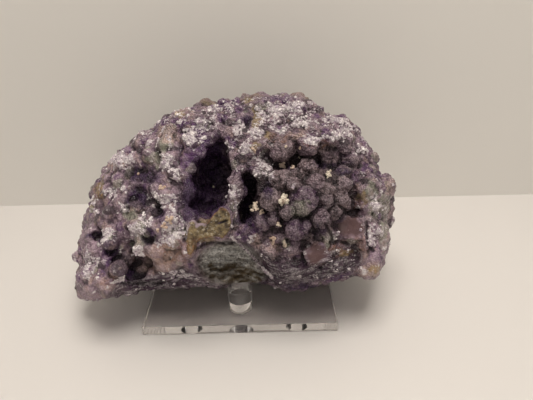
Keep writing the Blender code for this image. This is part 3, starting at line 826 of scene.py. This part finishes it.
def knob_places(stone, shape):
    """Centres, radii and kinds of the small knobs, largest first."""
    rng = np.random.default_rng(shape.seed)
    points, triangles = mesh_arrays(stone.data)
    places, normals = surface_samples(rng, points, triangles, shape.knob_tries)
    u, v, w = on_face(places)
    front = ease(-14.0, -4.0, w)
    mass = patch_cover("brown", u, v, 0.1) * front
    low = (1.3 + 0.1 * mass) * front + 1.8 * (1.0 - front)
    high = (3.1 - 0.7 * mass) * front + 4.4 * (1.0 - front)
    radii = (low + (high - low) * rng.random(len(places)) ** 2.0) * MM
    wanted = rng.random(len(places)) > bare_places(places)
    order = np.flatnonzero(wanted)[np.argsort(-radii[wanted])]
    order = order[spaced_out(places[order], radii[order], shape.knob_packing)]
    sink = 0.46 + 0.10 * front[order] + 0.08 * mass[order]
    centres = places[order] - normals[order] * (radii[order] * sink)[:, None]
    low, high = (np.array(corner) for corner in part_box("fluorite_specimen"))
    spare = (radii[order] - 0.5 * MM)[:, None]
    centres = np.clip(centres, low + spare, high - spare)

    top = ease(18.0, 34.0, v) * front
    right = ease(60.0, 68.0, u) * front
    frosted = 0.08 + 0.20 * top + 0.12 * right
    draws = rng.random(len(order))
    frosted = (frosted * (1.0 - mass) + 0.02 * mass)[order]
    kinds = np.select(
        [draws < frosted, draws < frosted + 0.2, draws < frosted + 0.25, draws < frosted + 0.42],
        [FROSTED, CLEAR, GRASSY, SMOKY],
        PLAIN,
    )
    return centres, radii[order], kinds


def grow_knobs(centres, radii, shape, rounds):
    rng = np.random.default_rng(shape.seed + 5)
    stretch = rng.uniform(0.76, 1.22, (len(radii), 3))
    matrices = random_turns(rng, len(radii)) * (stretch * radii[:, None])[:, None, :]
    ball = template_of(bpy.ops.mesh.primitive_ico_sphere_add, subdivisions=rounds, radius=1.0)
    return joined_copies("knobs", ball, centres, matrices)


def sight_hit(tree, u, v):
    """Where the sight line through the face place (u, v) meets a surface, and the normal there."""
    eye = Vector(lean_to_world(EYE).tolist())
    target = Vector(lean_to_world([u, v, 0.0]).tolist())
    return tree.ray_cast(eye, (target - eye).normalized())[:2]


def face_knobs(tree):
    """Centres and radii of the larger knobs, sunk into the stone where they are seen."""
    centres = []
    for u, v, radius, _ in FACE_KNOBS:
        place, normal = sight_hit(tree, u, v)
        centres.append(tuple(place - normal * (0.5 * radius * MM)))
    return np.array(centres), np.array([row[2] for row in FACE_KNOBS]) * MM


def flat_crystals(tree):
    """Blocks with a flat face to the viewer, standing a little out of the stone."""
    centres, matrices = [], []
    for u, v, half_width, half_height, turn in FLAT_CRYSTALS:
        place, _ = sight_hit(tree, u, v)
        ahead = (Vector(lean_to_world(EYE).tolist()) - place).normalized()
        ahead = (ahead + Vector((-0.3, 0.0, -0.05))).normalized()
        side = Vector((0.0, 0.0, 1.0)).cross(ahead).normalized()
        side.rotate(Quaternion(ahead, math.radians(turn)))
        axes = np.array([side, ahead.cross(side), ahead]).T
        centres.append(tuple(place - ahead * (2.5 * MM)))
        matrices.append(axes * np.array([2 * half_width, 2 * half_height, 7.0]) * MM)
    cube = template_of(bpy.ops.mesh.primitive_cube_add, size=1.0)
    return joined_copies("flat_crystals", cube, np.array(centres), np.array(matrices))


def noise_along(first, second, third):
    """Noise from -1 to 1 at places given by three arrays of scaled coordinates."""
    return np.array([noise.noise(p) for p in zip(first, second, third)])


def fibre_run(u, v):
    """How far along and across the fibres of the broken matrix a face place lies."""
    sideways = (u - FIBRE_ROOT[0]) / FIBRE_STRETCH
    upwards = v - FIBRE_ROOT[1]
    return np.arctan2(upwards, sideways) * FIBRE_RADIUS, np.hypot(sideways, upwards)


def fibre_height(points):
    """Relief of the broken matrix: fibres of two widths with lumps between them."""
    u, v, w = on_face(points)
    along, across = fibre_run(u, v)
    fine = noise_along(along / 6.0, across / 1.5, w / 6.0)
    lumps = noise_at(points, 2.6, 11.0)
    return 0.8 * fine + 0.5 * lumps + 0.4 * noise_along(along / 12.0, across / 3.4, w / 9.0)


def line_distance(u, v, *lines):
    """Distance on the face from each place to the nearest of some lines of points."""
    best = np.full(len(u), 1e9)
    for (u0, v0), (u1, v1) in (pair for line in lines for pair in zip(line, line[1:])):
        du, dv = u1 - u0, v1 - v0
        share = np.clip(((u - u0) * du + (v - v0) * dv) / (du * du + dv * dv), 0.0, 1.0)
        best = np.minimum(best, np.hypot(u - u0 - share * du, v - v0 - share * dv))
    return best


def waxy_places(u, v):
    """Where the crust is waxy and not sugary: its left half, its right edge and its flat faces."""
    left = ease(2.0, -16.0, u) * ease(34.0, 24.0, v) * (1.0 - 0.7 * patch_cover("dark", u, v))
    right = ease(60.0, 67.0, u) * ease(2.0, -8.0, v)
    return np.maximum(0.45 * np.maximum(left, right), patch_cover("facet", u, v))


def roughen(stone, large):
    """Pushes the skin in and out: sugary crystals on the crust, fibres on the broken matrix."""
    points, _ = mesh_arrays(stone.data)
    normals = vertex_normals(stone.data)
    u, v, w = on_face(points)
    front = ease(-8.0, -2.0, w)
    rock = patch_cover("rock", u, v) * front
    mass = patch_cover("brown", u, v) * front
    waxy = waxy_places(u, v) * front
    plain = np.maximum(patch_cover("facet", u, v) * front, rock)
    coarse = bubbles_at(points, 2.4, 3.0) - 0.5
    fine = bubbles_at(points, 1.5, 9.0) - 0.5
    sugar = (0.6 - 0.1 * mass - 0.3 * waxy) * coarse + (0.25 + 0.45 * mass - 0.2 * waxy) * fine
    sugar += (0.6 + 0.9 * mass) * noise_at(points, 4.5, 9.0)
    rim = ease(1.3, 0.3, line_distance(u, v, ARCH_RIM)) * front
    cleft = ease(1.5, 0.3, line_distance(u, v, *SHADED_CLEFTS)) * front
    sunk = np.maximum(patch_cover("dark", u, v) * ease(-26.0, -34.0, u) * front, mass)
    sunk *= ease(1.0, 1.25, on_large_knobs(points, *large)[1])
    push = (sugar - 1.8 * sunk) * (1.0 - 0.85 * plain)
    push += 2.3 * fibre_height(points) * rock + 0.6 * rim - 0.9 * cleft
    push[near_a_peg(points)] = 0.0
    push_skin(stone, points, normals, push * MM)


def knob_kinds(points, centres, radii, kinds, seed):
    """For each place its knob's shade, and masks of the frosted, violet, green and smoky knobs."""
    tree = KDTree(len(centres))
    for i, centre in enumerate(centres.tolist()):
        tree.insert(centre, i)
    tree.balance()
    nearest = np.zeros(len(points), np.int64)
    reach = np.zeros(len(points))
    for i, point in enumerate(points.tolist()):
        found = [(away / radii[j], j) for _, j, away in tree.find_n(point, 4)]
        reach[i], nearest[i] = min(found)
    shade = np.random.default_rng(seed).random(len(centres))[nearest]
    on_knob = ease(1.30, 1.05, reach)
    return shade, [(kinds[nearest] == kind) * on_knob for kind in (FROSTED, CLEAR, GRASSY, SMOKY)]


def on_large_knobs(points, centres, radii):
    """The nearest of the large knobs to each place, and how far out it lies in that knob's radii."""
    pairs = zip(centres, radii)
    reach = np.stack([np.linalg.norm(points - middle, axis=1) / r for middle, r in pairs], axis=1)
    return reach.argmin(axis=1), reach.min(axis=1)


def skin_relief(mesh, points):
    """How far each vertex stands out of its close and its wider surroundings, in millimetres."""
    normals = vertex_normals(mesh)
    edges = mesh_edges(mesh)
    near = neighbour_means(points, edges, 12)
    wide = neighbour_means(near, edges, 90)
    return [((points - around) * normals).sum(1) / MM for around in (near, wide)]


def mark_zones(stone, large, centres, radii, kinds, shape):
    """Writes the masks that the stone's material mixes its colours by."""
    mesh = stone.data
    points, _ = mesh_arrays(mesh)
    fine, broad = skin_relief(mesh, points)
    # Painted highlight on what stands out of the skin, the tips of knobs.
    tip_highlight = ease(0.02, 0.34, fine + 0.10 * broad)

    warp = [
        noise_at(points, 5.0, seed) * 3.4 + noise_at(points, 1.7, seed + 9.0) * 1.6
        for seed in (20.0, 40.0)
    ]
    u, v, w = on_face(points)
    front = ease(-9.0, -3.0, w)
    rim = ease(1.1, 0.4, line_distance(u, v, ARCH_RIM)) * front
    rock = patch_cover("rock", u, v, 0.2) * front
    along, across = fibre_run(u, v)
    pale = 0.16 + ease(22.0, 31.0, across + 3.0 * noise_at(points, 6.0, 31.0))
    # Painted highlight on the raised fibres and painted shade in the furrows between them.
    pale = np.clip(pale + 0.8 * fibre_height(points), 0.0, 1.0)
    cover = {
        name: patch_cover(name, u + warp[0], v + warp[1], 0.6 if name == "dark" else 0.35) * front
        for name in PATCHES
    }
    cleft = ease(1.2, 0.3, line_distance(u, v, *SHADED_CLEFTS)) * front
    # Painted shade: darker in the low places of the skin's relief and along the clefts, its broad part
    # weaker in the painted hollows and on the upper mass.
    deep = 1.0 - np.maximum(0.85 * cover["dark"], 0.7 * cover["brown"] * ease(4.0, 10.0, v))
    low = np.maximum(ease(-0.08, -0.50, fine), ease(-0.4, -1.9, broad) * deep)
    crevice_shade = np.maximum(low * (1.0 - 0.9 * rock), cleft)

    # Layers of the crust crop out along the foot of the stone.
    depth = line_distance(u + 0.3 * warp[0], v + 0.3 * warp[1], *LAYERS)
    layers = ease(8.5, 4.5, depth) * front * (1.0 - rock)
    run = np.where(
        rock[:, None] > 0.5,
        np.stack([along / 6.0, across / 0.9, w / 6.0], axis=1),
        np.stack([u / 8.0, depth / 1.1, w / 8.0], axis=1),
    )
    write_attribute(mesh, "run", "FLOAT_VECTOR", run)

    shade, (frosted, clear, grassy, smoky) = knob_kinds(points, centres, radii, kinds, shape.seed + 1)
    mottle = noise_at(points, 4.2, 5.0, 3)
    blotch = noise_at(points, 13.0, 7.0, 2)
    back = 1.0 - front
    mass = cover["brown"]
    other = 1.0 - mass
    top = ease(18.0, 34.0, v) * front

    # The large knobs have their own shades, and painted shade darkens the places between those of the
    # mass.
    nearest, reach = on_large_knobs(points, *large)
    on_large = ease(1.22, 1.06, reach)
    between = ease(1.05, 1.30, reach) * (1.0 - 0.85 * ease(4.0, 10.0, v))
    crevice_shade = np.maximum(crevice_shade, 0.9 * mass * between * (1.0 - cover["facet"]))
    own = np.random.default_rng(shape.seed + 4).random(len(FACE_KNOBS))[nearest]
    shade = shade + (own - shade) * on_large * (0.4 + 0.6 * mass)
    # Painted light and shade on the mass: its upper knobs lighter, its lower knobs darker.
    light_by_height = 0.9 * ease(2.0, 8.0, v) - 0.35 * ease(-4.0, -12.0, v)
    shade = np.clip(shade + mass * light_by_height, 0.0, 1.0)
    purple = np.array([row[3] for row in FACE_KNOBS])[nearest] * on_large
    smoky = np.maximum(smoky * other, 0.9 * on_large * ease(0.0, -10.0, u) * front)
    edge = ease(-66.0, -76.0, u) * ease(-12.0, -22.0, v) * front
    shade = np.maximum(shade, 0.9 * edge)

    spread = ease(0.25 - 0.25 * top, 0.60 - 0.25 * top, mottle) * other
    frost = np.max([cover["frost"], 0.6 * frosted, 0.6 * spread], axis=0) * (0.65 + 0.35 * tip_highlight)
    frost = np.maximum(frost * (1.0 - cover["dark"]) * (1.0 - rock), 0.8 * rim)
    stained = cover["violet"] * (1.0 - 0.8 * smoky)
    clear = 0.8 * clear * other * (1.0 - on_large)
    violet = np.max([stained, clear, 0.8 * purple, back * ease(0.1, 0.5, blotch)], axis=0)
    rosy = cover["rosy"] * (0.5 + 0.5 * ease(-0.3, 0.2, mottle))
    rosy = np.maximum(rosy, 0.5 * ease(0.2, 0.6, -mottle) * other * front)
    earthy = back * ease(-0.15, -0.5, blotch)
    masks = {
        "frost": frost,
        "dark": cover["dark"] * (1.0 - 0.9 * on_large * other),
        "brown": mass * (1.0 - cover["rosy"]),
        "rosy": rosy,
        "violet": violet,
        "green": np.maximum(cover["green"], grassy * other),
        "tan": np.maximum(cover["tan"], 0.6 * earthy),
        "rock": rock * (1.0 - rim),
        "tip_highlight": tip_highlight * (1.0 - 0.8 * smoky),
        "crevice_shade": crevice_shade,
        "tint": shade + (pale - shade) * rock,
        "smoky": smoky,
        "plain": cover["facet"],
        "layers": layers,
        "waxy": waxy_places(u, v) * front,
        "stain": cover["stain"],
    }
    for layer, names in MASKS.items():
        values = np.stack([masks[name] for name in names], axis=1)
        write_attribute(mesh, layer, "FLOAT_COLOR", values)


class SPECIMEN_OT_crust(bpy.types.Operator):
    """Grow the stone's crust of knobs over its solid and mark its zones"""

    bl_idname = "specimen.crust"
    bl_label = "Grow crust"

    def execute(self, context):
        shape = context.scene.specimen_shape
        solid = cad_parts["fluorite_specimen"]
        stone = linked_object("fluorite_crust", solid.data.copy())
        stone.data.materials.clear()
        merge_and_face_outwards(stone)
        with_modifier(stone, "SUBSURF", levels=1, render_levels=1)
        part_knobs(stone, shape)
        tree = BVHTree.FromObject(stone, context.evaluated_depsgraph_get())
        large = face_knobs(tree)
        centres, radii, kinds = knob_places(stone, shape)
        grown = [
            grow_knobs(*large, shape, 3), grow_knobs(centres, radii, shape, 2), flat_crystals(tree)
        ]
        select_only(stone)
        for knobs in grown:
            knobs.select_set(True)
        bpy.ops.object.join()
        with_modifier(stone, "REMESH", mode="VOXEL", voxel_size=shape.skin_step)
        with_modifier(stone, "SMOOTH", factor=0.5, iterations=1)
        thin_the_back(stone, shape)
        roughen(stone, large)
        mark_zones(stone, large, centres, radii, kinds, shape)
        finish_shape(stone, "fluorite_crust")
        bpy.ops.object.shade_smooth()
        stone.data.materials.append(fluorite_material(context.scene.specimen_look))
        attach(stone, "root")
        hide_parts("fluorite_specimen")
        return {"FINISHED"}


class SPECIMEN_OT_blade(bpy.types.Operator):
    """Break the tan blade of matrix out of the stone's front"""

    bl_idname = "specimen.blade"
    bl_label = "Matrix blade"

    def execute(self, context):
        front = lean_to_world([seen(u, v, BLADE_FRONT) for u, v in BLADE])
        blade = object_from_arrays("matrix_blade", front, np.arange(len(front))[None])
        select_only(blade)
        bpy.ops.object.mode_set(mode="EDIT")
        bpy.ops.mesh.select_all(action="SELECT")
        inward = Vector((-W_AXIS * (BLADE_FRONT - BLADE_BACK) * MM).tolist())
        bpy.ops.mesh.extrude_region_move(TRANSFORM_OT_translate={"value": inward})
        bpy.ops.object.mode_set(mode="OBJECT")
        merge_and_face_outwards(blade)
        with_modifier(blade, "REMESH", mode="VOXEL", voxel_size=0.45 * MM)
        with_modifier(blade, "SMOOTH", factor=0.5, iterations=2)
        points, _ = mesh_arrays(blade.data)
        normals = vertex_normals(blade.data)
        u, v, _ = on_face(points)
        cu, cv, half_length, half_width, slope = BLADE_CRACK
        reach = np.hypot((u - cu) / half_length, (v - cv - slope * (u - cu)) / half_width)
        slit = ease(1.3, 0.6, reach)
        push = noise_at(points, 5.0, 2.0) * 0.5 + noise_at(points, 1.6, 4.0) * 0.4 - 0.8 * slit
        points = push_skin(blade, points, normals, push * MM)
        edge = line_distance(u, v, [*BLADE, BLADE[0]]) + noise_at(points, 2.0, 6.0) * 1.2
        foot = ease(-24.0, -31.0, v + 1.5 * noise_at(points, 2.5, 12.0))
        rim = np.maximum(ease(0.9, 0.1, edge) * ease(-2.0, -9.0, u), 0.6 * foot)
        frost = ease(-16.0, -20.0, u) * ease(-24.0, -21.0, v) * ease(1.5, 0.5, edge)
        # The slit is sunk in and also painted in as shade in the crack.
        values = np.stack([rim, slit, frost, np.ones(len(rim))], axis=1)
        write_attribute(blade.data, "blade", "FLOAT_COLOR", values)
        finish_shape(blade, "matrix_blade")
        bpy.ops.object.shade_smooth()
        blade.data.materials.append(matrix_material(context.scene.specimen_look))
        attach(blade, "root")
        return {"FINISHED"}


class SPECIMEN_OT_cubes(bpy.types.Operator):
    """Dust the frosted places with small cube crystals"""

    bl_idname = "specimen.cubes"
    bl_label = "Cube crystals"

    def execute(self, context):
        shape = context.scene.specimen_shape
        stone = bpy.data.objects["fluorite_crust"]
        rng = np.random.default_rng(shape.seed + 2)
        points, _ = mesh_arrays(stone.data)
        values = np.empty(len(points) * 4, np.float32)
        stone.data.attributes["zones_a"].data.foreach_get("color", values)
        frost = values.reshape(-1, 4)[:, 0]
        chance = np.clip(frost - 0.3, 0.0, 1.0) ** 1.5
        chance[near_a_peg(points)] = 0.0
        picked = rng.choice(len(points), size=shape.crystals, replace=False, p=chance / chance.sum())
        sizes = (0.5 + 0.8 * rng.random(len(picked)) ** 2.0) * MM
        turns = random_turns(rng, len(picked)) * sizes[:, None, None]
        cube = template_of(bpy.ops.mesh.primitive_cube_add, size=1.0)
        normals = vertex_normals(stone.data)
        centres = points[picked] - normals[picked] * (0.1 * sizes)[:, None]
        cubes = joined_copies("cube_crystals", cube, centres, turns)
        cubes.data.materials.append(crystal_material(context.scene.specimen_look))
        finish_shape(cubes, "cube_crystals")
        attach(cubes, "root")
        return {"FINISHED"}


class SPECIMEN_OT_crumbs(bpy.types.Operator):
    """Stick cream and peach crumbs to the face"""

    bl_idname = "specimen.crumbs"
    bl_label = "Crumbs"

    def execute(self, context):
        shape = context.scene.specimen_shape
        stone = bpy.data.objects["fluorite_crust"]
        tree = BVHTree.FromObject(stone, context.evaluated_depsgraph_get())
        rng = np.random.default_rng(shape.seed + 3)
        centres, sizes, shares = [], [], []
        for u, v, radius, grains_there, share in CRUMBS:
            shares += [share] * grains_there
            for _ in range(grains_there):
                du, dv = rng.normal(size=2) * radius * (0.34, 0.44)
                place, normal = sight_hit(tree, u + du, v + dv)
                size = rng.uniform(0.5, 1.0) * (0.45 + 0.25 * radius) * MM
                centres.append(tuple(place + normal * rng.uniform(0.0, 0.9) * size))
                sizes.append(size)
        sizes = np.array(sizes)
        stretch = rng.uniform(0.7, 1.25, (len(sizes), 3))
        turns = random_turns(rng, len(sizes)) * (stretch * sizes[:, None])[:, None, :]
        ball = template_of(bpy.ops.mesh.primitive_ico_sphere_add, subdivisions=1, radius=1.0)
        crumbs = joined_copies("crumbs", ball, np.array(centres), turns)
        write_attribute(crumbs.data, "peach", "FLOAT", np.repeat(shares, len(ball[0])))
        crumbs.data.materials.append(crumb_material(context.scene.specimen_look))
        finish_shape(crumbs, "crumbs")
        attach(crumbs, "root")
        return {"FINISHED"}


# Stand


class SPECIMEN_OT_stand(bpy.types.Operator):
    """Polish the acrylic base with its three pegs cemented on"""

    bl_idname = "specimen.stand"
    bl_label = "Acrylic stand"

    def execute(self, context):
        shape = context.scene.specimen_shape
        low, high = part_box("stand_base")
        bpy.ops.object.select_all(action="DESELECT")
        bpy.ops.mesh.primitive_cube_add(size=1.0, location=(low + high) / 2)
        stand = context.object
        stand.scale = high - low
        finish_shape(stand, "acrylic_stand")
        for name in PEGS:
            peg_low, peg_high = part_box(name)
            middle = (peg_low + peg_high) / 2
            foot = high.z - 1.0 * MM
            bpy.ops.object.select_all(action="DESELECT")
            bpy.ops.mesh.primitive_cylinder_add(
                vertices=96,
                radius=(peg_high.x - peg_low.x) / 2,
                depth=peg_high.z - foot,
                location=(middle.x, middle.y, (peg_high.z + foot) / 2),
            )
            peg = context.object
            with_modifier(stand, "BOOLEAN", operation="UNION", solver="EXACT", object=peg)
            bpy.data.objects.remove(peg, do_unlink=True)
        width = shape.polished_edge
        with_modifier(stand, "BEVEL", width=width, segments=3, limit_method="ANGLE")
        merge_and_face_outwards(stand)
        bpy.ops.object.shade_smooth_by_angle(angle=math.radians(40.0))
        with_modifier(stand, "WEIGHTED_NORMAL", keep_sharp=True, weight=100)
        stand.data.materials.append(acrylic_material(context.scene.specimen_look))
        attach(stand, "root")
        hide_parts("stand_base", *PEGS)
        return {"FINISHED"}


# Stage


def aim_camera(camera):
    """Stands the camera where the photograph was taken, looking down and a little rolled."""
    pitch, roll, yaw = (math.radians(angle) for angle in (CAMERA_PITCH, CAMERA_ROLL, CAMERA_YAW))
    level = Vector((math.cos(yaw), math.sin(yaw), 0.0))
    ahead = Vector((-math.sin(yaw), math.cos(yaw), 0.0))
    gaze = ahead * math.cos(pitch) - Vector((0.0, 0.0, math.sin(pitch)))
    head = ahead * math.sin(pitch) + Vector((0.0, 0.0, math.cos(pitch)))
    right = level * math.cos(roll) + head * math.sin(roll)
    upright = head * math.cos(roll) - level * math.sin(roll)
    turn = Matrix((right, upright, -gaze)).transposed().to_4x4()
    turn.translation = Vector(CAMERA_AT)
    camera.matrix_world = turn


class SPECIMEN_OT_stage(bpy.types.Operator):
    """Set the floor, the backdrop, the soft light and the camera"""

    bl_idname = "specimen.stage"
    bl_label = "Stage"

    def execute(self, context):
        stage = context.scene.specimen_stage
        bpy.ops.object.select_all(action="DESELECT")
        bpy.ops.mesh.primitive_plane_add(size=6.0, location=(0.0, 0.0, -stage.table_gap))
        floor = context.object
        floor.name = "floor"
        floor.data.materials.append(table_material(stage))
        bpy.ops.object.select_all(action="DESELECT")
        bpy.ops.mesh.primitive_plane_add(
            size=1.0, location=(0.0, stage.wall_distance, 0.5), rotation=(math.pi / 2, 0.0, 0.0)
        )
        wall = context.object
        wall.name = "backdrop"
        wall.scale = (3.0, 1.0, 1.0)
        wall.data.materials.append(wall_material(stage))

        for name, place, size, power in (
            ("ceiling light", (0.06, -0.02, 0.80), (0.60, 0.40), stage.ceiling_power),
            ("room light", (0.15, -0.90, 0.55), (0.90, 0.60), stage.room_power),
        ):
            bpy.ops.object.light_add(type="AREA", location=place)
            lamp = context.object
            lamp.name = name
            lamp.data.shape = "RECTANGLE"
            lamp.data.size, lamp.data.size_y = size
            lamp.data.energy = power
            lamp.data.color = stage.light[:3]
            aim = Vector((0.0, 0.0, 0.05)) - Vector(place)
            lamp.rotation_euler = aim.to_track_quat("-Z", "Y").to_euler()

        world = bpy.data.worlds.new("Soft room")
        world.use_nodes = True
        background = world.node_tree.nodes["Background"]
        background.inputs["Color"].default_value = stage.light
        background.inputs["Strength"].default_value = stage.room_strength
        context.scene.world = world
        context.scene.view_settings.view_transform = "Standard"
        # Light runs along inside the acrylic plate for many turns before it leaves at the far edge.
        context.scene.cycles.max_bounces = 24
        context.scene.cycles.glossy_bounces = 16
        context.scene.cycles.transmission_bounces = 24

        bpy.ops.object.camera_add()
        camera = context.object
        camera.name = "camera"
        camera.data.sensor_width = 36.0
        camera.data.lens = stage.lens
        camera.data.dof.use_dof = False
        aim_camera(camera)
        context.scene.camera = camera
        return {"FINISHED"}


# Add-on


class SPECIMEN_PT_panel(bpy.types.Panel):
    """Steps and settings of the specimen"""

    bl_label = "Fluorite specimen"
    bl_idname = "SPECIMEN_PT_panel"
    bl_space_type = "VIEW_3D"
    bl_region_type = "UI"
    bl_category = "Specimen"

    def draw(self, context):
        for step in STEPS:
            self.layout.operator(step.bl_idname)
        for name, group in GROUPS.items():
            for setting in group.__annotations__:
                self.layout.prop(getattr(context.scene, name), setting)


STEPS = (
    SPECIMEN_OT_crust,
    SPECIMEN_OT_blade,
    SPECIMEN_OT_cubes,
    SPECIMEN_OT_crumbs,
    SPECIMEN_OT_stand,
    SPECIMEN_OT_stage,
)
GROUPS = {
    "specimen_look": SpecimenLook,
    "specimen_shape": SpecimenShape,
    "specimen_stage": SpecimenStage,
}


def register():
    for name, group in GROUPS.items():
        bpy.utils.register_class(group)
        setattr(bpy.types.Scene, name, PointerProperty(type=group))
    for step in STEPS:
        bpy.utils.register_class(step)
    bpy.utils.register_class(SPECIMEN_PT_panel)


def unregister():
    bpy.utils.unregister_class(SPECIMEN_PT_panel)
    for step in reversed(STEPS):
        bpy.utils.unregister_class(step)
    for name, group in reversed(GROUPS.items()):
        delattr(bpy.types.Scene, name)
        bpy.utils.unregister_class(group)


def main():
    register()
    bpy.ops.specimen.crust()
    bpy.ops.specimen.blade()
    bpy.ops.specimen.cubes()
    bpy.ops.specimen.crumbs()
    bpy.ops.specimen.stand()
    bpy.ops.specimen.stage()


if __name__ == "__main__":
    main()
